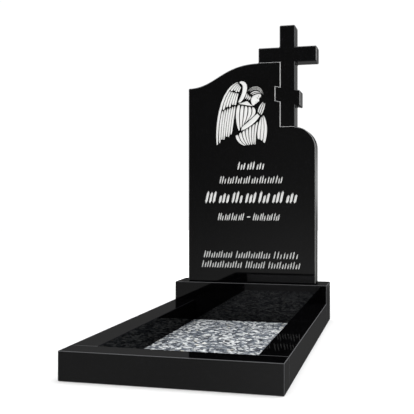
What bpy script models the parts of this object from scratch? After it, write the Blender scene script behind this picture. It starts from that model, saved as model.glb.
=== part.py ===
"""Upright cross headstone in polished black granite.

An upright slab with a cross worked at its right shoulder stands on a plinth.
Three kerb bars in front of the plinth frame a thin bed of stone chips.
The slab's face carries a shallow praying figure and six rows of plain chisel strokes.
Metres, +Z up. The origin is on the ground under the middle of the whole set, the face looks along -Y.
"""
from math import asin, cos, hypot, pi, radians, sin, tan
import random

import bmesh
import bpy

# Plinth and kerb frame
BASE_WIDTH = 0.600
PLINTH_DEPTH = 0.150
PLINTH_HEIGHT = 0.150
KERB_REACH = 1.050
KERB_WIDTH = 0.080
KERB_HEIGHT = 0.080
BASE_ARRIS = 0.0015
ARRIS_LIMIT = radians(40)
JOINT = 0.0003

# Headstone slab, heights measured up from the plinth's top
SLAB_WIDTH = 0.510
SLAB_THICKNESS = 0.080
SLAB_ARRIS = 0.003
LEFT_SIDE_HEIGHT = 0.774
SHOULDER_HEIGHT = 0.610
SHOULDER_RADIUS = 0.084
OGEE_LOW_PULL = 0.385
OGEE_HIGH_PULL = 0.525
OGEE_STEPS = 20
SHOULDER_STEPS = 12

# Cross at the right shoulder, drops measured down from its top
CROSS_HEIGHT = 1.007
UPRIGHT_WIDTH = 0.0605
UPRIGHT_SETBACK = 0.0798
ARM_LENGTH = 0.228
ARM_HEIGHT = 0.0593
ARM_DROP = 0.0848
ARM_SEAT = 0.001
SHORT_BAR_LENGTH = 0.101
SHORT_BAR_HEIGHT = 0.061
SHORT_BAR_DROP = 0.275
SHORT_BAR_TILT = radians(12.5)

# V groove that parts the cross from the slab, just inside the cross's outline
GROOVE_WIDTH = 0.0036
GROOVE_DEPTH = 0.0022
GROOVE_INSET = 0.0024

# Shallow engraving of the slab's face
ENGRAVING_DEPTH = 0.002
FIGURE_HEIGHT = 0.257
FIGURE_CENTRE = -0.041
FIGURE_FOOT = 0.540
STROKE_LEAN = radians(12)
OVERCUT = 0.004

# Bed of chips
BED_THICKNESS = 0.004
CHIP_SIZE = 0.030
CHIP_RISE = 0.0015
CHIP_SHIFT = 0.25
CHIP_SEED = 7

# How close two points are to be one, and how nearly flat two faces are to be one
WELD = 0.00001
FLAT_WITHIN = radians(0.3)

FRONT_Y = -(KERB_REACH + PLINTH_DEPTH)/2
PLINTH_FRONT_Y = FRONT_Y + KERB_REACH
FACE_Y = PLINTH_FRONT_Y + (PLINTH_DEPTH - SLAB_THICKNESS)/2
SLAB_FOOT_Z = PLINTH_HEIGHT + JOINT

# The praying figure, in shares of its height from the middle of its foot.
# A guide is a curve of four pull points, and a sheet of folds or feathers lies between two guides.
WING = (((-0.040, 0.985), (-0.27, 0.93), (-0.41, 0.52), (-0.385, 0.02)),
        ((0.018, 0.915), (-0.079, 0.74), (-0.092, 0.42), (-0.155, 0.05)))
FAR_WING = (((-0.018, 0.958), (0.068, 0.975), (0.045, 0.80), (-0.048, 0.673)),
            ((-0.012, 0.998), (0.160, 1.010), (0.120, 0.80), (0.004, 0.663)))
NECK = (((0.100, 0.688), (0.06, 0.67), (0.01, 0.66), (-0.050, 0.650)),
        ((0.163, 0.630), (0.172, 0.620), (0.19, 0.612), (0.203, 0.603)))
BODICE = (((-0.050, 0.632), (-0.098, 0.52), (-0.085, 0.36), (-0.032, 0.225)),
          ((0.222, 0.580), (0.275, 0.50), (0.22, 0.45), (0.10, 0.375)))
FOREARM = (((0.024, 0.298), (0.12, 0.362), (0.19, 0.427), (0.260, 0.494)),
           ((0.005, 0.225), (0.13, 0.270), (0.22, 0.343), (0.302, 0.443)))
HAND = (((0.266, 0.512), (0.262, 0.565), (0.290, 0.610), (0.345, 0.668)),
        ((0.330, 0.462), (0.366, 0.520), (0.386, 0.590), (0.390, 0.655)))
NEAR_SLEEVE = (((-0.095, 0.165), (-0.070, 0.08), (-0.020, 0.02), (0.060, 0.000)),
               ((0.298, 0.413), (0.26, 0.30), (0.24, 0.17), (0.240, 0.010)))
FAR_SLEEVE = (((0.318, 0.43), (0.27, 0.32), (0.25, 0.22), (0.262, 0.11)),
              ((0.366, 0.46), (0.43, 0.34), (0.43, 0.18), (0.385, 0.03)))

# The wing's leading feather takes this share of its width, and the other feathers share the rest
LEAD_SHARE = 1/6
LEAD_GAP = 0.026
INNER_WING = (tuple(tuple(a + (b - a)*LEAD_SHARE for a, b in zip(*pair)) for pair in zip(*WING)), WING[1])

# Sheets of feathers and folds: the guides, how many bands, the gap between two as a share of the width,
# where the first and the last band start, where they end, how blunt a band's ends are, and its steps
SHEETS = ((INNER_WING, 4, 0.038, (0.02, 0.03), (0.24, 0.175), 0.65, 7),
          (INNER_WING, 5, 0.030, (0.262, 0.197), (0.575, 0.425), 0.55, 7),
          (INNER_WING, 6, 0.026, (0.595, 0.445), (0.985, 0.90), 0.45, 8),
          (BODICE, 5, 0.039, (0.0, 0.0), (1.0, 0.92), 0.7, 10),
          (HAND, 3, 0.10, (0.0, 0.0), (1.0, 0.93), 0.45, 6),
          (NEAR_SLEEVE, 7, 0.030, (0.065, 0.125), (0.97, 0.985), 0.55, 9),
          (FAR_SLEEVE, 3, 0.045, (0.0, 0.0), (1.0, 1.0), 0.65, 9))
STAGGER = 0.02
END_SQUARENESS = 5

# Single bands: the guides, the shares of the width they lie between, how blunt, and their steps
BANDS = ((WING, 0.0, LEAD_SHARE - LEAD_GAP, 0.5, 14), (FAR_WING, 0.0, 1.0, 0.6, 12),
         (NECK, 0.0, 1.0, 0.9, 4), (FOREARM, 0.0, 1.0, 0.8, 8))

# The bowed head, in shares of the head's height from its middle, drawn upright and then tipped
HEAD_HEIGHT = 0.262
HEAD_PLACE = (0.222, 0.760)
HEAD_BOW = radians(38)
PROFILE = ((0.27, 0.27), (0.325, 0.15), (0.300, 0.05), (0.41, -0.10), (0.335, -0.150), (0.375, -0.205),
           (0.335, -0.250), (0.360, -0.30), (0.295, -0.35), (0.315, -0.44), (0.23, -0.50), (0.07, -0.42),
           (-0.05, -0.29), (-0.09, -0.06), (0.04, 0.15), (0.15, 0.26))
CROWN = (((0.36, 0.365), (0.13, 0.68), (-0.50, 0.72), (-0.54, -0.05)),
         ((0.25, 0.320), (0.07, 0.45), (-0.28, 0.42), (-0.36, -0.02)))
TEMPLE = (((0.22, 0.305), (0.05, 0.40), (-0.25, 0.36), (-0.32, -0.05)),
          ((0.12, 0.285), (0.04, 0.24), (-0.08, 0.10), (-0.135, -0.06)))
HAIR = ((CROWN, 3, 0.17, (0.0, 0.05), (1.0, 0.95), 0.6, 11), (TEMPLE, 2, 0.18, (0.0, 0.04), (1.0, 1.0), 0.6, 10))
CURLS = 3
CURL = ((-0.49, -0.13), (-0.37, -0.50))
CURL_STEP = ((0.125, -0.01), (0.105, 0.03))
CURL_WIDTH = 0.025
CURL_BEND = 0.012

# Eyelid, brow and lips, as leaves that stay standing inside the cut face
FEATURES = (((0.15, 0.015), (0.275, -0.005), 0.030, -0.012), ((0.12, 0.12), (0.285, 0.095), 0.020, 0.010),
            ((0.235, -0.235), (0.315, -0.238), 0.020, 0.0))
FEATURE_STEPS = 4

# Rows of strokes: height of the foot, height and width of a stroke, strokes in a mark, then the
# groups of the row, each as its left end, its right end and its number of marks
ROWS = ((0.444, 0.035, 0.0058, 3, ((-0.056, 0.057, 3),)),
        (0.389, 0.034, 0.0047, 3, ((-0.129, 0.129, 8),)),
        (0.312, 0.050, 0.0095, 3, ((-0.189, 0.189, 7),)),
        (0.243, 0.033, 0.0046, 3, ((-0.135, -0.025, 4), (0.007, 0.117, 4))),
        (0.094, 0.031, 0.0048, 2, ((-0.192, -0.073, 6), (-0.061, 0.079, 7), (0.090, 0.189, 4))),
        (0.055, 0.031, 0.0048, 2, ((-0.200, -0.034, 8), (-0.022, 0.058, 4), (0.069, 0.197, 6))))
MARK_FILL = 0.74
STROKE_HEIGHTS = (1.0, 0.66, 0.84, 0.72, 0.92)
DASH = (-0.015, -0.002, 0.256, 0.005)

# Outline of one stroke, in shares of its width and height
STROKE_OUTLINE = ((0.0, 0.0), (0.5, 0.2), (0.5, 0.85), (0.0, 1.0), (-0.5, 0.8), (-0.5, 0.15))


def clear_scene():
    for item in list(bpy.data.objects):
        bpy.data.objects.remove(item)


def new_collection(name):
    made = bpy.data.collections.new(name)
    bpy.context.scene.collection.children.link(made)
    return made


def stone(name, colour, roughness):
    made = bpy.data.materials.new(name)
    made.use_nodes = True
    shader = made.node_tree.nodes["Principled BSDF"]
    shader.inputs["Base Color"].default_value = (*colour, 1.0)
    shader.inputs["Roughness"].default_value = roughness
    shader.inputs["Metallic"].default_value = 0.0
    return made


def finish_mesh(mesh):
    """Weld the doubled corners, make each flat side one face and turn the faces out."""
    work = bmesh.new()
    work.from_mesh(mesh)
    bmesh.ops.remove_doubles(work, verts=work.verts, dist=WELD)
    bmesh.ops.dissolve_limit(work, angle_limit=FLAT_WITHIN, verts=work.verts, edges=work.edges)
    bmesh.ops.recalc_face_normals(work, faces=work.faces)
    work.to_mesh(mesh)
    work.free()


def prism(name, outlines, front, back, collection):
    """A solid between two depths from flat outlines given as x and z."""
    curve = bpy.data.curves.new(name + "_outline", "CURVE")
    curve.dimensions = "2D"
    curve.fill_mode = "BOTH"
    curve.extrude = (back - front)/2
    for outline in outlines:
        spline = curve.splines.new("POLY")
        spline.points.add(len(outline) - 1)
        spline.use_cyclic_u = True
        for point, (x, z) in zip(spline.points, outline):
            point.co = (x, z, 0.0, 1.0)
    flat = bpy.data.objects.new(name + "_outline", curve)
    flat.rotation_euler = (pi/2, 0, 0)
    flat.location = (0, (front + back)/2, 0)
    collection.objects.link(flat)
    graph = bpy.context.evaluated_depsgraph_get()
    mesh = bpy.data.meshes.new_from_object(flat.evaluated_get(graph))
    finish_mesh(mesh)
    solid = bpy.data.objects.new(name, mesh)
    solid.matrix_world = flat.matrix_world
    bpy.data.objects.remove(flat)
    collection.objects.link(solid)
    return solid


def chamfer(item, width):
    edge = item.modifiers.new("arris", "BEVEL")
    edge.width = width
    edge.segments = 1
    edge.limit_method = "ANGLE"
    edge.angle_limit = ARRIS_LIMIT


def cut(item, cutter):
    cutter.hide_render = True
    cutter.display_type = "WIRE"
    hole = item.modifiers.new(cutter.name, "BOOLEAN")
    hole.operation = "DIFFERENCE"
    hole.solver = "EXACT"
    hole.object = cutter


def block(name, low, high, collection):
    """A rectangular stone between two corners, its arrises taken off."""
    bpy.ops.mesh.primitive_cube_add(size=1.0)
    item = bpy.context.active_object
    item.name = name
    item.data.name = name
    for vertex in item.data.vertices:
        vertex.co = [a + (b - a)*(c + 0.5) for a, b, c in zip(low, high, vertex.co)]
    for owner in list(item.users_collection):
        owner.objects.unlink(item)
    collection.objects.link(item)
    chamfer(item, BASE_ARRIS)
    return item


def cubic(points, share):
    """The place at a share of the way along a curve of four pull points."""
    rest = 1 - share
    weights = (rest**3, 3*rest*rest*share, 3*rest*share*share, share**3)
    return tuple(sum(w*p[axis] for w, p in zip(weights, points)) for axis in (0, 1))


def arc(centre, radius, first, last, steps):
    """Points on an arc, its angles measured from straight up towards +x."""
    angles = [first + (last - first)*i/steps for i in range(steps + 1)]
    return [(centre[0] + radius*sin(a), centre[1] + radius*cos(a)) for a in angles]


def cross_places():
    """The cross's main lines, as x and z places in the whole set."""
    right = SLAB_WIDTH/2 - UPRIGHT_SETBACK
    left = right - UPRIGHT_WIDTH
    middle = (left + right)/2
    top = SLAB_FOOT_Z + CROSS_HEIGHT
    arm_top = top - ARM_DROP
    return {
        "left": left,
        "right": right,
        "middle": middle,
        "top": top,
        "arm_top": arm_top,
        "arm_low": arm_top - ARM_HEIGHT,
        "arm_left": middle - ARM_LENGTH/2,
        "arm_right": middle + ARM_LENGTH/2,
        "bar_left": middle - SHORT_BAR_LENGTH/2,
        "bar_right": middle + SHORT_BAR_LENGTH/2,
        "foot": SLAB_FOOT_Z + SHOULDER_HEIGHT,
    }


def short_bar_edge(x, side, inset=0.0):
    """Height of the slanted bar's upper (+1) or lower (-1) edge above a place across it."""
    lines = cross_places()
    centre = lines["top"] - SHORT_BAR_DROP - (x - lines["middle"])*tan(SHORT_BAR_TILT)
    return centre + side*(SHORT_BAR_HEIGHT/2 - inset)


def slab_outline():
    """The slab and the free part of its cross, clockwise from the lower left corner."""
    lines = cross_places()
    half = SLAB_WIDTH/2
    left_top = (-half, SLAB_FOOT_Z + LEFT_SIDE_HEIGHT)
    arm_root = (lines["arm_left"], lines["arm_low"] + ARM_SEAT)
    run = arm_root[0] - left_top[0]
    ogee = (left_top, (left_top[0] + OGEE_LOW_PULL*run, left_top[1]),
            (arm_root[0] - OGEE_HIGH_PULL*run, arm_root[1]), arm_root)
    points = [(-half, SLAB_FOOT_Z)]
    points += [cubic(ogee, i/OGEE_STEPS) for i in range(OGEE_STEPS + 1)]
    points += [(lines["arm_left"], lines["arm_top"]), (lines["left"], lines["arm_top"])]
    points += [(lines["left"], lines["top"]), (lines["right"], lines["top"])]
    points += [(lines["right"], lines["arm_top"]), (lines["arm_right"], lines["arm_top"])]
    points += [(lines["arm_right"], lines["arm_low"]), (lines["right"], lines["arm_low"])]
    points += [(lines["right"], short_bar_edge(lines["right"], 1))]
    points += [(lines["bar_right"], short_bar_edge(lines["bar_right"], side)) for side in (1, -1)]
    points += [(lines["right"], short_bar_edge(lines["right"], -1))]
    centre = (half - SHOULDER_RADIUS, lines["foot"] - SHOULDER_RADIUS)
    start = asin(max(0.0, lines["right"] - centre[0])/SHOULDER_RADIUS)
    if centre[0] > lines["right"]:
        points += [(lines["right"], lines["foot"])]
    points += arc(centre, SHOULDER_RADIUS, start, pi/2, SHOULDER_STEPS)
    points += [(half, SLAB_FOOT_Z)]
    return points


def groove_path():
    """Middle line of the groove, from the arm's left end round to the upright's right side."""
    lines = cross_places()
    side = lines["left"] + GROOVE_INSET
    end = lines["bar_left"] + GROOVE_INSET
    return [(lines["arm_left"] - SLAB_ARRIS, lines["arm_low"] + GROOVE_INSET),
            (side, lines["arm_low"] + GROOVE_INSET),
            (side, short_bar_edge(side, 1, GROOVE_INSET)),
            (end, short_bar_edge(end, 1, GROOVE_INSET)),
            (end, short_bar_edge(end, -1, GROOVE_INSET)),
            (side, short_bar_edge(side, -1, GROOVE_INSET)),
            (side, lines["foot"] + GROOVE_INSET),
            (lines["right"] + OVERCUT, lines["foot"] + GROOVE_INSET)]


def mitre(path, index):
    """Offset at a corner of a path for each unit of width to its left."""
    before = path[max(index - 1, 0)]
    here = path[index]
    after = path[min(index + 1, len(path) - 1)]
    turns = []
    for a, b in ((before, here), (here, after)):
        length = hypot(b[0] - a[0], b[1] - a[1])
        if length > 0:
            turns.append((-(b[1] - a[1])/length, (b[0] - a[0])/length))
    one, two = turns[0], turns[-1]
    share = 1 + one[0]*two[0] + one[1]*two[1]
    return ((one[0] + two[0])/share, (one[1] + two[1])/share)


def vee_cutter(name, path, collection):
    """A V section carried along a path, its corners mitred."""
    work = bmesh.new()
    rings = []
    half = GROOVE_WIDTH/2*(1 + OVERCUT/GROOVE_DEPTH)
    for index, (x, z) in enumerate(path):
        out_x, out_z = mitre(path, index)
        places = [(x + side*out_x*half, FACE_Y - OVERCUT, z + side*out_z*half) for side in (1, -1)]
        places.append((x, FACE_Y + GROOVE_DEPTH, z))
        rings.append([work.verts.new(place) for place in places])
    for one, two in zip(rings, rings[1:]):
        for k in range(3):
            work.faces.new((one[k], two[k], two[(k + 1) % 3], one[(k + 1) % 3]))
    for ring in (rings[0], rings[-1]):
        work.faces.new(ring)
    bmesh.ops.recalc_face_normals(work, faces=work.faces)
    mesh = bpy.data.meshes.new(name)
    work.to_mesh(mesh)
    work.free()
    item = bpy.data.objects.new(name, mesh)
    collection.objects.link(item)
    return item


def band(guides, low, high, start, end, blunt, steps):
    """One fold or feather between two guides, narrowed to a blunt share at both ends."""
    left, right = [], []
    for i in range(steps + 1):
        share = (1 - cos(pi*i/steps))/2
        full = max(blunt, (1 - abs(2*share - 1)**END_SQUARENESS)**(1/END_SQUARENESS))
        one, two = (cubic(guide, start + (end - start)*share) for guide in guides)
        for side, sign in ((left, -1), (right, 1)):
            across = (low + high)/2 + sign*(high - low)/2*full
            side.append(tuple(a + (b - a)*across for a, b in zip(one, two)))
    return left + right[::-1]


def sheet(guides, count, gap, start, end, blunt, steps):
    """Side by side bands; start and end are the shares at the first and at the last band."""
    bands = []
    for k in range(count):
        across = k/max(count - 1, 1)
        low = k/count + gap/2
        high = (k + 1)/count - gap/2
        first = start[0] + (start[1] - start[0])*across
        last = end[0] + (end[1] - end[0])*across - STAGGER*(k % 2)
        bands.append(band(guides, low, high, first, last, blunt, steps))
    return bands


def leaf(first, last, width, bend, steps=6):
    """A pointed leaf between two places, bowed sideways by its bend."""
    along = (last[0] - first[0], last[1] - first[1])
    length = hypot(*along)
    across = (-along[1]/length, along[0]/length)
    points = []
    for sign, shares in ((1, range(steps)), (-1, range(steps, 0, -1))):
        for i in shares:
            share = i/steps
            off = 4*bend*share*(1 - share) + sign*width/2*sin(pi*share)
            points.append(tuple(a + d*share + n*off for a, d, n in zip(first, along, across)))
    return points


def through(before, here, following, beyond, share):
    """A value between two points, on a smooth curve that also passes the points on either side."""
    bend = 2*before - 5*here + 4*following - beyond
    twist = 3*here - before - 3*following + beyond
    return here + (following - before)*share/2 + bend*share**2/2 + twist*share**3/2


def smooth_loop(points, steps=3):
    """A closed smooth curve through a few points."""
    loop = []
    count = len(points)
    for i in range(count):
        a, b, c, d = (points[(i + k) % count] for k in (-1, 0, 1, 2))
        for step in range(steps):
            loop.append(tuple(through(p, q, r, s, step/steps) for p, q, r, s in zip(a, b, c, d)))
    return loop


def on_head(place):
    """A place of the upright head, tipped forward and set on the figure."""
    x = place[0]*HEAD_HEIGHT
    z = place[1]*HEAD_HEIGHT
    return (HEAD_PLACE[0] + x*cos(HEAD_BOW) + z*sin(HEAD_BOW),
            HEAD_PLACE[1] - x*sin(HEAD_BOW) + z*cos(HEAD_BOW))


def body_shapes():
    """Wings, robe, sleeves, forearm and hands."""
    shapes = []
    for row in SHEETS:
        shapes += sheet(*row)
    for guides, low, high, blunt, steps in BANDS:
        shapes.append(band(guides, low, high, 0.0, 1.0, blunt, steps))
    return shapes


def head_shapes():
    """Face, hair in locks and the curls at the nape; the lid, brow and lips stay standing."""
    shapes = [[on_head(p) for p in smooth_loop(PROFILE)]]
    for guides, *shares in HAIR:
        shapes += sheet([[on_head(p) for p in guide] for guide in guides], *shares)
    for k in range(CURLS):
        ends = [on_head((x + k*dx, z + k*dz)) for (x, z), (dx, dz) in zip(CURL, CURL_STEP)]
        shapes.append(leaf(*ends, CURL_WIDTH, CURL_BEND))
    for row in FEATURES:
        shapes.append([on_head(p) for p in leaf(*row, FEATURE_STEPS)])
    return shapes


def figure_shapes():
    """The whole figure at its real size and place on the slab's face."""
    foot = SLAB_FOOT_Z + FIGURE_FOOT
    return [[(FIGURE_CENTRE + x*FIGURE_HEIGHT, foot + z*FIGURE_HEIGHT) for x, z in shape]
            for shape in body_shapes() + head_shapes()]


def stroke(x, foot, height, width):
    """A leaning chisel stroke with blunt points, from the middle of its foot."""
    lean = tan(STROKE_LEAN)
    return [(x + across*width + lean*(up - 0.5)*height, foot + up*height) for across, up in STROKE_OUTLINE]


def stroke_shapes():
    """The rows of marks. A mark is two or three strokes side by side, all leaning one way."""
    shapes = []
    turn = 0
    for foot, height, width, strokes, groups in ROWS:
        for left, right, marks in groups:
            pitch = (right - left)/marks
            step = (pitch*MARK_FILL - width)/(strokes - 1)
            for mark in range(marks):
                middle = left + pitch*(mark + 0.5)
                for k in range(strokes):
                    tall = STROKE_HEIGHTS[turn % len(STROKE_HEIGHTS)] if mark or k else 1.0
                    x = middle + step*(k - (strokes - 1)/2)
                    shapes.append(stroke(x, SLAB_FOOT_Z + foot, height*tall, width))
                    turn += 1
    left, right, height, width = DASH
    low = SLAB_FOOT_Z + height
    shapes.append([(left, low), (left, low + width), (right, low + width), (right, low)])
    return shapes


def make_headstone(solids, cutters):
    slab = prism("headstone", [slab_outline()], FACE_Y, FACE_Y + SLAB_THICKNESS, solids)
    chamfer(slab, SLAB_ARRIS)
    cut(slab, vee_cutter("cross_groove", groove_path(), cutters))
    engraving = figure_shapes() + stroke_shapes()
    cut(slab, prism("engraving", engraving, FACE_Y - OVERCUT, FACE_Y + ENGRAVING_DEPTH, cutters))
    return slab


def make_base(solids):
    """Plinth at the back, a front bar across the whole width and a bar down each side."""
    half = BASE_WIDTH/2
    bar_back = FRONT_Y + KERB_WIDTH
    inner = half - KERB_WIDTH
    back = PLINTH_FRONT_Y + PLINTH_DEPTH
    stones = [block("plinth", (-half, PLINTH_FRONT_Y, 0), (half, back, PLINTH_HEIGHT), solids)]
    stones.append(block("kerb_front", (-half, FRONT_Y, 0), (half, bar_back, KERB_HEIGHT), solids))
    for name, left, right in (("kerb_left", -half, -inner), ("kerb_right", inner, half)):
        low = (left, bar_back + JOINT, 0)
        high = (right, PLINTH_FRONT_Y - JOINT, KERB_HEIGHT)
        stones.append(block(name, low, high, solids))
    return stones


def make_gravel(solids):
    """A thin bed with a broken top, as wide as the frame's inside."""
    width = BASE_WIDTH - 2*KERB_WIDTH - 2*JOINT
    length = KERB_REACH - KERB_WIDTH - 2*JOINT
    middle_y = FRONT_Y + KERB_WIDTH + JOINT + length/2
    columns = round(width/CHIP_SIZE)
    rows = round(length/CHIP_SIZE)
    work = bmesh.new()
    bmesh.ops.create_grid(work, x_segments=columns, y_segments=rows, size=0.5)
    bottom = bmesh.ops.extrude_face_region(work, geom=list(work.faces))
    lower = [item for item in bottom["geom"] if isinstance(item, bmesh.types.BMVert)]
    under = [item for item in bottom["geom"] if isinstance(item, bmesh.types.BMFace)]
    bmesh.ops.dissolve_faces(work, faces=under)
    chance = random.Random(CHIP_SEED)
    for vertex in work.verts:
        edge = max(abs(vertex.co.x), abs(vertex.co.y)) > 0.499
        if vertex in lower:
            vertex.co.z = 0.0
        else:
            vertex.co.z = BED_THICKNESS + chance.uniform(-1, 1)*CHIP_RISE
            if not edge:
                vertex.co.x += chance.uniform(-CHIP_SHIFT, CHIP_SHIFT)/columns
                vertex.co.y += chance.uniform(-CHIP_SHIFT, CHIP_SHIFT)/rows
        vertex.co.x *= width
        vertex.co.y = vertex.co.y*length + middle_y
    bmesh.ops.recalc_face_normals(work, faces=work.faces)
    mesh = bpy.data.meshes.new("gravel_bed")
    work.to_mesh(mesh)
    work.free()
    item = bpy.data.objects.new("gravel_bed", mesh)
    solids.objects.link(item)
    return item


def main():
    clear_scene()
    solids = new_collection("upright_cross_headstone")
    cutters = new_collection("cutters")
    granite = stone("polished_black_granite", (0.010, 0.010, 0.011), 0.08)
    chips = stone("grey_stone_chips", (0.42, 0.43, 0.45), 0.75)
    for item in [make_headstone(solids, cutters)] + make_base(solids):
        item.data.materials.append(granite)
    make_gravel(solids).data.materials.append(chips)


main()
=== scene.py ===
"""Looks of the upright cross headstone: black granite, white engraving and a bed of stone chips."""
from math import pi, radians
import random

import bmesh
import bpy
from mathutils import Euler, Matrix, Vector


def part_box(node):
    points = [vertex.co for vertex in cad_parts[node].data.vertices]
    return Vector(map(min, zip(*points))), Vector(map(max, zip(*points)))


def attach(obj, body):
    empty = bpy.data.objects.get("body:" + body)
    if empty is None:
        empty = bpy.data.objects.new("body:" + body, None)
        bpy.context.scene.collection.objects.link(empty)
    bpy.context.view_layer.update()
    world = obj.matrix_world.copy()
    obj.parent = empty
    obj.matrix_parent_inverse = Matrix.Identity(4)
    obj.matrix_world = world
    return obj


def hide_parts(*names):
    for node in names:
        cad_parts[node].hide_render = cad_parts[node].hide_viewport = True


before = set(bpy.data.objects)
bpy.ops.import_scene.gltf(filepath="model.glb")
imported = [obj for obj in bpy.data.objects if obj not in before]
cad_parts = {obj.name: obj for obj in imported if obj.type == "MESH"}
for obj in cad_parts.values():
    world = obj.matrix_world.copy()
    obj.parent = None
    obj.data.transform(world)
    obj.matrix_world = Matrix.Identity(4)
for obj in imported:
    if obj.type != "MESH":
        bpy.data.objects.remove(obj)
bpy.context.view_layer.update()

BLACK = (0.0, 0.0, 0.0)
WHITE = (1.0, 1.0, 1.0)

# Camera at the photograph's viewing angle: level, turned a little to the left.
# Picture width, focal length and horizon are in pixels, and the film width is in millimetres.
CAMERA_PLACE = (0.5716, -2.37735, 0.47685)
CAMERA_TURN = radians(14.68)
CAMERA_REACH = 50.0
PICTURE_WIDTH = 414
FOCAL_LENGTH = 738.17
HORIZON = 199.66
FILM_WIDTH = 36.0

# Floor and backdrop. The floor's glow goes with the square of the distance from the middle.
FLOOR_LEVEL = -0.0014
FLOOR_RADIUS = 9.0
FLOOR_SIDES = 96
FLOOR_GREY = (0.48, 0.48, 0.48)
FLOOR_GLOW = (1.0, 5.0, 0.28, 0.95)
BACKDROP_RADIUS = 9.2
BACKDROP_SEGMENTS = 64
BACKDROP_RINGS = 32
BACKDROP_GLOW = 1.02

# Lamps: two round soft boxes
AIM = (0.0, 0.1, 0.5)
KEY_PLACE = (-2.2, -3.6, 3.6)
KEY_SIZE = 2.4
KEY_POWER = 130.0
TOP_PLACE = (0.6, 0.2, 4.2)
TOP_SIZE = 3.0
TOP_POWER = 120.0

# Light from all round, by direction: right is +X, back is +Y and up is +Z.
# A range is a low and a high part of the direction, then the values there, or else 0 and 1.
# The panel is a bright area behind and to the right, with a brighter band at eye level.
FRONT_GLOW = 0.13
GROUND_GLOW = 0.28
GROUND_FADE = (-0.16, 0.14, 1.0, 0.0)
SIDE_LIFT = (-0.30, -0.12, 0.0, 0.45)
SIDE_LIFT_FADE = (0.08, 0.15, 1.0, 0.0)
OVERHEAD_GLOW = (0.35, 0.70, 0.0, 1.05)
BACK_GLOW = 0.95
BACK_GROUND_GLOW = (-0.10, 0.05, 1.5, 1.1)
BACK_HORIZON = (-0.03, 0.03)
BACK_HALF = (-0.25, 0.25)
PANEL_GLOW = 2.1
PANEL_SIDE = (0.03, 0.09)
PANEL_FOOT = (-0.119, -0.109)
PANEL_HALF = (0.0, 0.3)
BAND_GLOW = 6.0
BAND_FOOT = (-0.03, 0.015)
BAND_TOP = (0.025, 0.08, 1.0, 0.25)
BAND_FADE = (0.10, 0.17, 0.0, 0.27)

# Polished granite: a mirror over a nearly black body of crystals, in metres
CRYSTAL_SIZE = 0.0018
CRYSTAL_SHARE = 0.6
CLOUD_SIZE = 0.12
BODY_TONES = ((0.0, (0.0003, 0.0003, 0.0004)), (0.8, (0.0008, 0.0008, 0.0009)),
              (1.0, (0.0018, 0.0018, 0.0020)))
FLECK_RANGE = (0.93, 1.0)
FLECK_GREY = (0.007, 0.007, 0.008)
MIRROR_SHARE = 0.028
SMEAR_SIZE = 0.22
SMEAR_GLOSS = (0.35, 0.75, 0.024, 0.045)

# Worked granite: arrises and groove grey from honing, a sawn face and painted engraving, with a
# painted highlight on the slab's right arrises and painted shade on the inner and downward arrises
DULL_ROUGHNESS = 0.5
GRIT_SIZE = 0.0012
GRIT_DEPTH = 0.00008
HONED_GREY = ((0.25, (0.058, 0.059, 0.061)), (0.75, (0.082, 0.083, 0.086)))
GROOVE_GREY = ((0.25, (0.36, 0.36, 0.36)), (0.75, (0.54, 0.54, 0.54)))
# Painted highlight: a lighter grey for the slab's right arrises, as if lit from the right
RIGHT_ARRIS_HIGHLIGHT = ((0.25, (0.15, 0.15, 0.15)), (0.75, (0.19, 0.19, 0.19)))
# Painted shade: the side bars' inner arrises near black
INNER_ARRIS_SHADE = (0.006, 0.006, 0.007)
# Painted shade: downward-facing arrises darker
UNDER_ARRIS_SHADE = (0.008, 0.008, 0.009)
SAWN_GREY = ((0.25, (0.27, 0.27, 0.28)), (0.75, (0.39, 0.39, 0.40)))
CHALK_WHITE = ((0.2, (0.67, 0.67, 0.66)), (0.7, (0.72, 0.72, 0.71)))

# Where the granite is worked: places in metres, slants as parts of a facet's normal
ENGRAVING_DEPTH = 0.002
ENGRAVING_SLACK = 0.0002
SAWN_SLACK = 0.0001
RIGHT_ARRISES = 0.19
INNER_ARRISES = 0.25
GROOVE_SLANT = (0.60, 0.67)
EDGE_ON = 0.3
TURNED = 0.4
SQUARE = 0.9
FACING = 0.95

# Stone chips. A layer is its level, its pitch, and its darkest and palest tone. The lower layer is
# held to dark tones: painted shade under the upper chips.
CHIP_SEED = 41
CHIP_KINDS = 12
CHIP_CORNERS = 14
CHIP_SQUARENESS = 0.35
CHIP_REACH = (0.86, 1.0)
CHIP_LENGTH = (0.015, 0.031)
CHIP_WIDTH = (0.42, 0.70)
CHIP_THICKNESS = (0.0034, 0.0050)
CHIP_LAYERS = ((0.0008, 0.0150, 0.0, 0.30), (0.0022, 0.0168, 0.06, 1.0))
CHIP_SCATTER = 0.45
CHIP_MARGIN = 0.020
CHIP_EDGE_RISE = 0.45
CHIP_TILT = radians(5)
CHIP_TURN = radians(32)
CHIP_FLOOR = 0.0003
CHIP_CEILING = 0.0065
CHIP_TONES = ((0.0, (0.015, 0.021, 0.034)), (0.16, (0.038, 0.049, 0.068)),
              (0.30, (0.12, 0.137, 0.157)), (0.44, (0.31, 0.325, 0.338)),
              (0.62, (0.43, 0.445, 0.452)), (0.85, (0.57, 0.585, 0.585)),
              (0.97, (0.55, 0.57, 0.56)), (1.0, (0.50, 0.47, 0.39)))
VEIN_SIZE = 0.007
VEIN_RANGE = (0.42, 0.62, 0.0, 0.42)
VEIN_GREY = (0.082, 0.097, 0.117)
SPECK_SIZE = 0.0011
SPECK_RANGE = (0.80, 0.95, 0.0, 0.5)
SPECK_GREY = (0.42, 0.43, 0.44)
GRAIN_SIZE = 0.0016
GRAIN_DEPTH = 0.0006
GRAIN_ROUGHNESS = (0.3, 0.7, 0.50, 0.78)

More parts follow.
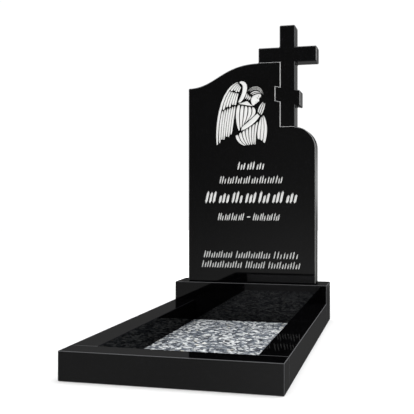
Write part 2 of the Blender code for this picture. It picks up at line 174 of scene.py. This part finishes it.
# Painted shade: a dark sheet under the chips that darkens the gaps between them
GAP_SHADE_SEED = 5
GAP_SHADE_GRID = (44, 97)
GAP_SHADE_HEIGHT = (0.0006, 0.0018)
GAP_SHADE_GRAIN = 0.003
GAP_SHADE_DEPTH = 0.001
GAP_SHADE_TONES = ((0.3, (0.012, 0.013, 0.017)), (0.7, (0.05, 0.052, 0.06)))


class Field:
    """A value that changes over a surface; sums on it become Math nodes."""

    def __init__(self, finish, socket):
        self.finish = finish
        self.socket = socket

    def sum(self, operation, first, second=0.0):
        node = self.finish.add("ShaderNodeMath", {"operation": operation}, {0: first, 1: second})
        return self.finish.field(node, 0)

    def __add__(self, other):
        return self.sum("ADD", self, other)

    __radd__ = __add__

    def __sub__(self, other):
        return self.sum("SUBTRACT", self, other)

    def __rsub__(self, other):
        return self.sum("SUBTRACT", other, self)

    def __mul__(self, other):
        return self.sum("MULTIPLY", self, other)

    __rmul__ = __mul__

    def __gt__(self, other):
        return self.sum("GREATER_THAN", self, other)

    def __lt__(self, other):
        return self.sum("LESS_THAN", self, other)

    def __abs__(self):
        return self.sum("ABSOLUTE", self)

    def either(self, other):
        return self.sum("MAXIMUM", self, other)


class Finish:
    """A node tree being built, for a material or for the studio's light."""

    def __init__(self, tree):
        self.tree = tree
        tree.nodes.clear()

    def add(self, kind, settings=None, inputs=None):
        node = self.tree.nodes.new(kind)
        for name, value in (settings or {}).items():
            if name == "stops":
                self.set_stops(node.color_ramp, value)
            else:
                setattr(node, name, value)
        for name, value in (inputs or {}).items():
            self.feed(node.inputs[name], value)
        return node

    def set_stops(self, ramp, stops):
        while len(ramp.elements) < len(stops):
            ramp.elements.new(1.0)
        for element, (place, colour) in zip(ramp.elements, stops):
            element.position = place
            element.color = (*colour, 1.0)

    def feed(self, socket, value):
        if isinstance(value, Field):
            self.tree.links.new(value.socket, socket)
        elif isinstance(value, bpy.types.NodeSocket):
            self.tree.links.new(value, socket)
        elif isinstance(value, tuple) and len(value) == 3 and len(socket.default_value) == 4:
            socket.default_value = (*value, 1.0)
        else:
            socket.default_value = value

    def field(self, node, output):
        return Field(self, node.outputs[output])

    def place(self):
        """Where on the object a point is, in metres."""
        return self.add("ShaderNodeTexCoord").outputs["Object"]

    def parts(self, vector):
        """The three parts of a vector."""
        node = self.add("ShaderNodeSeparateXYZ", {}, {0: vector})
        return [self.field(node, axis) for axis in range(3)]

    def noise(self, place, size, detail=2.0, roughness=0.5):
        """Soft noise whose lumps are about this many metres across."""
        node = self.add("ShaderNodeTexNoise", {}, {
            "Vector": place, "Scale": 1/size, "Detail": detail, "Roughness": roughness})
        return self.field(node, 0)

    def cells(self, place, size):
        """Grains about this many metres across, each with its own value."""
        node = self.add("ShaderNodeTexVoronoi", {}, {"Vector": place, "Scale": 1/size})
        red = self.add("ShaderNodeSeparateColor", {}, {0: node.outputs["Color"]})
        return self.field(red, 0)

    def ease(self, value, low, high, start=0.0, end=1.0):
        """From start to end, smoothly, as a value goes from low to high."""
        node = self.add("ShaderNodeMapRange", {"interpolation_type": "SMOOTHSTEP"}, {
            "Value": value, "From Min": low, "From Max": high, "To Min": start, "To Max": end})
        return self.field(node, 0)

    def ramp(self, value, stops):
        node = self.add("ShaderNodeValToRGB", {"stops": stops}, {0: value})
        return node.outputs[0]

    def blend(self, share, first, second):
        """Colour between two colours."""
        node = self.add("ShaderNodeMix", {"data_type": "RGBA"})
        self.feed(node.inputs[0], share)
        self.feed(node.inputs[6], first)
        self.feed(node.inputs[7], second)
        return node.outputs[2]

    def bump(self, height, depth):
        node = self.add("ShaderNodeBump", {}, {"Height": height, "Distance": depth})
        return node.outputs[0]

    def principled(self, inputs):
        return self.add("ShaderNodeBsdfPrincipled", {}, inputs).outputs[0]

    def surface(self, shader):
        self.add("ShaderNodeOutputMaterial", {}, {"Surface": shader})


def new_finish(name):
    material = bpy.data.materials.new(name)
    material.use_nodes = True
    return material, Finish(material.node_tree)


def dress(piece, material):
    piece.data.materials.clear()
    piece.data.materials.append(material)


def new_object(name, data):
    made = bpy.data.objects.new(name, data)
    bpy.context.scene.collection.objects.link(made)
    return made


def slab_marks(finish, place, slants, grit):
    """The slab's arrises and groove with the grey of honing, and its engraving with its white. The
    arrises on its right side are lighter: a painted highlight.
    """
    aside, along, _ = finish.parts(place)
    slanted = (slants[1] > TURNED)*(slants[1] < SQUARE)
    groove = (slants[1] > GROOVE_SLANT[0])*(slants[1] < GROOVE_SLANT[1])
    # Painted highlight: the arrises on the slab's right side get a lighter grey
    right = (aside > RIGHT_ARRISES)*(slants[0] > TURNED)
    arris_grey_and_painted_light = finish.blend(groove, finish.ramp(grit, HONED_GREY), finish.ramp(grit, GROOVE_GREY))
    arris_grey_and_painted_light = finish.blend(right, arris_grey_and_painted_light, finish.ramp(grit, RIGHT_ARRIS_HIGHLIGHT))
    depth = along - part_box("headstone")[0].y
    sunk = (depth > ENGRAVING_SLACK)*(depth < ENGRAVING_DEPTH + ENGRAVING_SLACK)
    painted = sunk*((slants[1] > FACING).either(slants[1] < EDGE_ON))
    return slanted, arris_grey_and_painted_light, painted, finish.ramp(grit, CHALK_WHITE)


def block_marks(finish, place, slants, grit):
    """The base blocks' arrises with the grey of honing, and the front bar's sawn inner face. The
    side bars' inner arrises are near black: painted shade.
    """
    aside, along, _ = finish.parts(place)
    slanted = (slants[0] < SQUARE)*(slants[1] < SQUARE)*(slants[2] < SQUARE)
    # Painted shade: the side bars' inner arrises in front of the plinth are near black
    inner = (abs(aside) < INNER_ARRISES)*(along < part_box("plinth")[0].y)*(slants[0] > TURNED)
    arris_grey_and_painted_light = finish.blend(inner, finish.ramp(grit, HONED_GREY), INNER_ARRIS_SHADE)
    bar_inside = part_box("kerb_front")[1].y
    sawn = (along > bar_inside - SAWN_SLACK)*(along < bar_inside + SAWN_SLACK)
    return slanted, arris_grey_and_painted_light, sawn, finish.ramp(grit, SAWN_GREY)


def granite(name, marks):
    """Black granite, mirror polished, and dull grey or white where marks finds it worked, with
    painted highlight and shade on some arrises.
    """
    material, finish = new_finish(name)
    place = finish.place()
    grains = finish.cells(place, CRYSTAL_SIZE)
    cloud = finish.noise(place, CLOUD_SIZE, detail=4.0)
    black = finish.ramp(grains*CRYSTAL_SHARE + cloud*(1 - CRYSTAL_SHARE), BODY_TONES)
    body = finish.blend(finish.ease(grains, *FLECK_RANGE), black, FLECK_GREY)
    turned = finish.parts(finish.add("ShaderNodeNewGeometry").outputs["True Normal"])
    slants = [abs(part) for part in turned]
    grit = finish.noise(place, GRIT_SIZE, detail=3.0, roughness=0.7)
    slanted, arris_grey_and_painted_light, cut, cut_colour = marks(finish, place, slants, grit)
    # Painted shade: arrises that face downward are darker
    arris_grey_and_painted_light = finish.blend(turned[2] < -TURNED, arris_grey_and_painted_light, UNDER_ARRIS_SHADE)
    colour = finish.blend(cut, finish.blend(slanted, body, arris_grey_and_painted_light), cut_colour)
    dull = slanted.either(cut)
    gloss = finish.ease(finish.noise(place, SMEAR_SIZE, detail=3.0), *SMEAR_GLOSS)
    stone = finish.principled({
        "Base Color": colour, "Roughness": gloss + dull*(DULL_ROUGHNESS - gloss),
        "Specular IOR Level": 0.0, "Normal": finish.bump(grit*dull, GRIT_DEPTH)})
    mirror = finish.principled({"Base Color": WHITE, "Metallic": 1.0, "Roughness": gloss})
    both = finish.add("ShaderNodeMixShader", {}, {
        0: (1 - dull)*MIRROR_SHARE, 1: stone, 2: mirror})
    finish.surface(both.outputs[0])
    return material


def chip_finish():
    """Crushed stone: white, grey and slate chips with a few cream ones. The lower chips' dark tones
    are painted shade.
    """
    material, finish = new_finish("stone_chips")
    place = finish.place()
    tone_and_shade = finish.add("ShaderNodeAttribute", {"attribute_name": "chip_tone"}).outputs["Fac"]
    tone_and_shade_colour = finish.ramp(tone_and_shade, CHIP_TONES)
    veins = finish.noise(place, VEIN_SIZE, detail=4.0, roughness=0.65)
    streaked = finish.blend(finish.ease(veins, *VEIN_RANGE), tone_and_shade_colour, VEIN_GREY)
    specks = finish.cells(place, SPECK_SIZE)
    colour = finish.blend(finish.ease(specks, *SPECK_RANGE), streaked, SPECK_GREY)
    grain = finish.noise(place, GRAIN_SIZE, detail=4.0, roughness=0.7)
    finish.surface(finish.principled({
        "Base Color": colour, "Roughness": finish.ease(grain, *GRAIN_ROUGHNESS),
        "Specular IOR Level": 0.35, "Normal": finish.bump(grain, GRAIN_DEPTH)}))
    return material


def gap_shade_finish():
    """Near-black colour for the sheet under the chips: painted shade in the gaps."""
    material, finish = new_finish("painted_gap_shade")
    grain = finish.noise(finish.place(), GAP_SHADE_GRAIN, detail=4.0, roughness=0.7)
    finish.surface(finish.principled({
        "Base Color": finish.ramp(grain, GAP_SHADE_TONES), "Roughness": 0.9,
        "Specular IOR Level": 0.2, "Normal": finish.bump(grain, GAP_SHADE_DEPTH)}))
    return material


def chip_kind(chance):
    """Corners and faces of one crushed stone, one unit long: the hull of a few scattered points."""
    work = bmesh.new()
    for _ in range(CHIP_CORNERS):
        direction = Vector([chance.gauss(0, 1) for _ in range(3)]).normalized()
        longest = max(abs(part) for part in direction)
        squared = [part/longest*CHIP_SQUARENESS + part*(1 - CHIP_SQUARENESS)
                   for part in direction]
        work.verts.new([part*0.5*chance.uniform(*CHIP_REACH) for part in squared])
    bmesh.ops.convex_hull(work, input=work.verts)
    loose = [vertex for vertex in work.verts if not vertex.link_faces]
    bmesh.ops.delete(work, geom=loose, context="VERTS")
    bmesh.ops.triangulate(work, faces=work.faces)
    work.verts.index_update()
    corners = [vertex.co.copy() for vertex in work.verts]
    faces = [[vertex.index for vertex in face.verts] for face in work.faces]
    work.free()
    return corners, faces


def kept_in_bed(point, low, high):
    """The point held between the bars, and lower near the side bars and the plinth."""
    x = min(max(point.x, low.x), high.x)
    y = min(max(point.y, low.y), high.y)
    inset = min(x - low.x, high.x - x, high.y - y, CHIP_MARGIN)/CHIP_MARGIN
    z = point.z*(CHIP_EDGE_RISE + (1 - CHIP_EDGE_RISE)*inset)
    return (x, y, min(max(z, CHIP_FLOOR), CHIP_CEILING))


def chip_bed():
    """Two layers of chips, held inside the kerb frame. The lower layer is darker: painted shade
    under the upper one.
    """
    low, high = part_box("gravel_bed")
    chance = random.Random(CHIP_SEED)
    kinds = [chip_kind(chance) for _ in range(CHIP_KINDS)]
    corners, faces, tones_and_shade = [], [], []
    for level, pitch, darkest, palest in CHIP_LAYERS:
        columns = round((high.x - low.x)/pitch)
        rows = round((high.y - low.y)/pitch)
        for cell in range(rows*columns):
            row, column = divmod(cell, columns)
            across = column + 0.5 + chance.uniform(-CHIP_SCATTER, CHIP_SCATTER)
            along = row + 0.5 + chance.uniform(-CHIP_SCATTER, CHIP_SCATTER)
            middle = Vector((low.x + across*(high.x - low.x)/columns,
                             low.y + along*(high.y - low.y)/rows, level))
            length = chance.uniform(*CHIP_LENGTH)
            width = length*chance.uniform(*CHIP_WIDTH)
            thickness = chance.uniform(*CHIP_THICKNESS)
            turn = Euler([chance.gauss(0, spread) for spread in (CHIP_TILT, CHIP_TILT, CHIP_TURN)])
            shape, sides = chance.choice(kinds)
            first = len(corners)
            for corner in shape:
                point = Vector((corner.x*length, corner.y*width, corner.z*thickness))
                point.rotate(turn)
                corners.append(kept_in_bed(point + middle, low, high))
            faces += [[first + index for index in side] for side in sides]
            # The lower layer's dark tones are painted shade under the upper chips
            tones_and_shade += [chance.uniform(darkest, palest)]*len(shape)
    mesh = bpy.data.meshes.new("stone_chips")
    mesh.from_pydata(corners, [], faces)
    mesh.attributes.new("chip_tone", "FLOAT", "POINT").data.foreach_set("value", tones_and_shade)
    return new_object("stone_chips", mesh)


def gap_shade_sheet():
    """A dark uneven sheet that shows between the chips: painted shade in the gaps."""
    low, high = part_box("gravel_bed")
    work = bmesh.new()
    columns, rows = GAP_SHADE_GRID
    bmesh.ops.create_grid(work, x_segments=columns, y_segments=rows, size=0.5)
    chance = random.Random(GAP_SHADE_SEED)
    for vertex in work.verts:
        vertex.co.x = (low.x + high.x)/2 + vertex.co.x*(high.x - low.x)
        vertex.co.y = (low.y + high.y)/2 + vertex.co.y*(high.y - low.y)
        vertex.co.z = chance.uniform(*GAP_SHADE_HEIGHT)
    mesh = bpy.data.meshes.new("painted_gap_shade")
    work.to_mesh(mesh)
    work.free()
    return new_object("painted_gap_shade", mesh)


def make_camera():
    data = bpy.data.cameras.new("camera")
    data.sensor_width = FILM_WIDTH
    data.lens = FOCAL_LENGTH*FILM_WIDTH/PICTURE_WIDTH
    data.shift_y = (HORIZON - PICTURE_WIDTH/2)/PICTURE_WIDTH
    data.clip_end = CAMERA_REACH
    camera = new_object("camera", data)
    camera.location = CAMERA_PLACE
    camera.rotation_euler = (pi/2, 0, CAMERA_TURN)
    bpy.context.scene.camera = camera


def soft_box(name, place, size, power):
    data = bpy.data.lights.new(name, "AREA")
    data.shape = "DISK"
    data.size = size
    data.energy = power
    lamp = new_object(name, data)
    lamp.location = place
    lamp.rotation_euler = (Vector(AIM) - Vector(place)).to_track_quat("-Z", "Y").to_euler()


def make_floor():
    """A pale floor that glows more away from the set, so that it meets the backdrop unseen."""
    bpy.ops.mesh.primitive_circle_add(vertices=FLOOR_SIDES, radius=FLOOR_RADIUS, fill_type="NGON",
                                      location=(0, 0, FLOOR_LEVEL))
    floor = bpy.context.active_object
    floor.name = "floor"
    material, finish = new_finish("floor")
    across, along, _ = finish.parts(finish.place())
    lift = finish.ease(across*across + along*along, *FLOOR_GLOW)
    finish.surface(finish.principled({
        "Base Color": FLOOR_GREY, "Roughness": 0.9, "Specular IOR Level": 0.0,
        "Emission Color": finish.blend(lift, BLACK, WHITE), "Emission Strength": 1.0}))
    dress(floor, material)
    floor.visible_glossy = False


def make_backdrop():
    bpy.ops.mesh.primitive_uv_sphere_add(segments=BACKDROP_SEGMENTS, ring_count=BACKDROP_RINGS,
                                         radius=BACKDROP_RADIUS)
    backdrop = bpy.context.active_object
    backdrop.name = "backdrop"
    material, finish = new_finish("backdrop")
    glow = finish.add("ShaderNodeEmission", {}, {"Color": WHITE, "Strength": BACKDROP_GLOW})
    finish.surface(glow.outputs[0])
    dress(backdrop, material)
    backdrop.visible_glossy = False
    backdrop.visible_diffuse = False
    backdrop.visible_shadow = False


def make_studio_light():
    """Soft light from all round: bright behind and above, dim in front at eye level."""
    world = bpy.data.worlds.new("studio")
    bpy.context.scene.world = world
    world.use_nodes = True
    finish = Finish(world.node_tree)
    direction = finish.add("ShaderNodeTexCoord").outputs["Generated"]
    right, back, up = finish.parts(direction)

    ground = finish.ease(up, *GROUND_FADE)
    side_lift = finish.ease(right, *SIDE_LIFT)*finish.ease(up, *SIDE_LIFT_FADE)
    front_glow = (FRONT_GLOW + ground*ground*GROUND_GLOW)*(1 + side_lift)
    front_glow += finish.ease(up, *OVERHEAD_GLOW)

    low_glow = finish.ease(right, *BACK_GROUND_GLOW)
    back_glow = low_glow + finish.ease(up, *BACK_HORIZON)*(BACK_GLOW - low_glow)

    band_top = finish.ease(up, *BAND_TOP) - finish.ease(up, *BAND_FADE)
    band = finish.ease(up, *BAND_FOOT)*band_top
    panel_edges = finish.ease(right, *PANEL_SIDE)*finish.ease(up, *PANEL_FOOT)
    panel = panel_edges*(PANEL_GLOW + band*BAND_GLOW)*finish.ease(back, *PANEL_HALF)

    share = finish.ease(back, *BACK_HALF)
    glow = front_glow*(1 - share) + back_glow*share + panel
    light = finish.add("ShaderNodeBackground", {}, {"Color": WHITE, "Strength": glow})
    finish.add("ShaderNodeOutputWorld", {}, {"Surface": light.outputs[0]})


bpy.context.scene.view_settings.view_transform = "Standard"
make_camera()
make_floor()
make_backdrop()
make_studio_light()
soft_box("key_light", KEY_PLACE, KEY_SIZE, KEY_POWER)
soft_box("top_light", TOP_PLACE, TOP_SIZE, TOP_POWER)

dress(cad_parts["headstone"], granite("engraved_granite", slab_marks))
polished = granite("polished_granite", block_marks)
for name in ("plinth", "kerb_front", "kerb_left", "kerb_right"):
    dress(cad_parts[name], polished)

chips = chip_bed()
dress(chips, chip_finish())
# A dark sheet under the chips: painted shade in the gaps between them
gap_shade = gap_shade_sheet()
dress(gap_shade, gap_shade_finish())
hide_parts("gravel_bed")
for piece in (chips, gap_shade):
    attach(piece, "root")
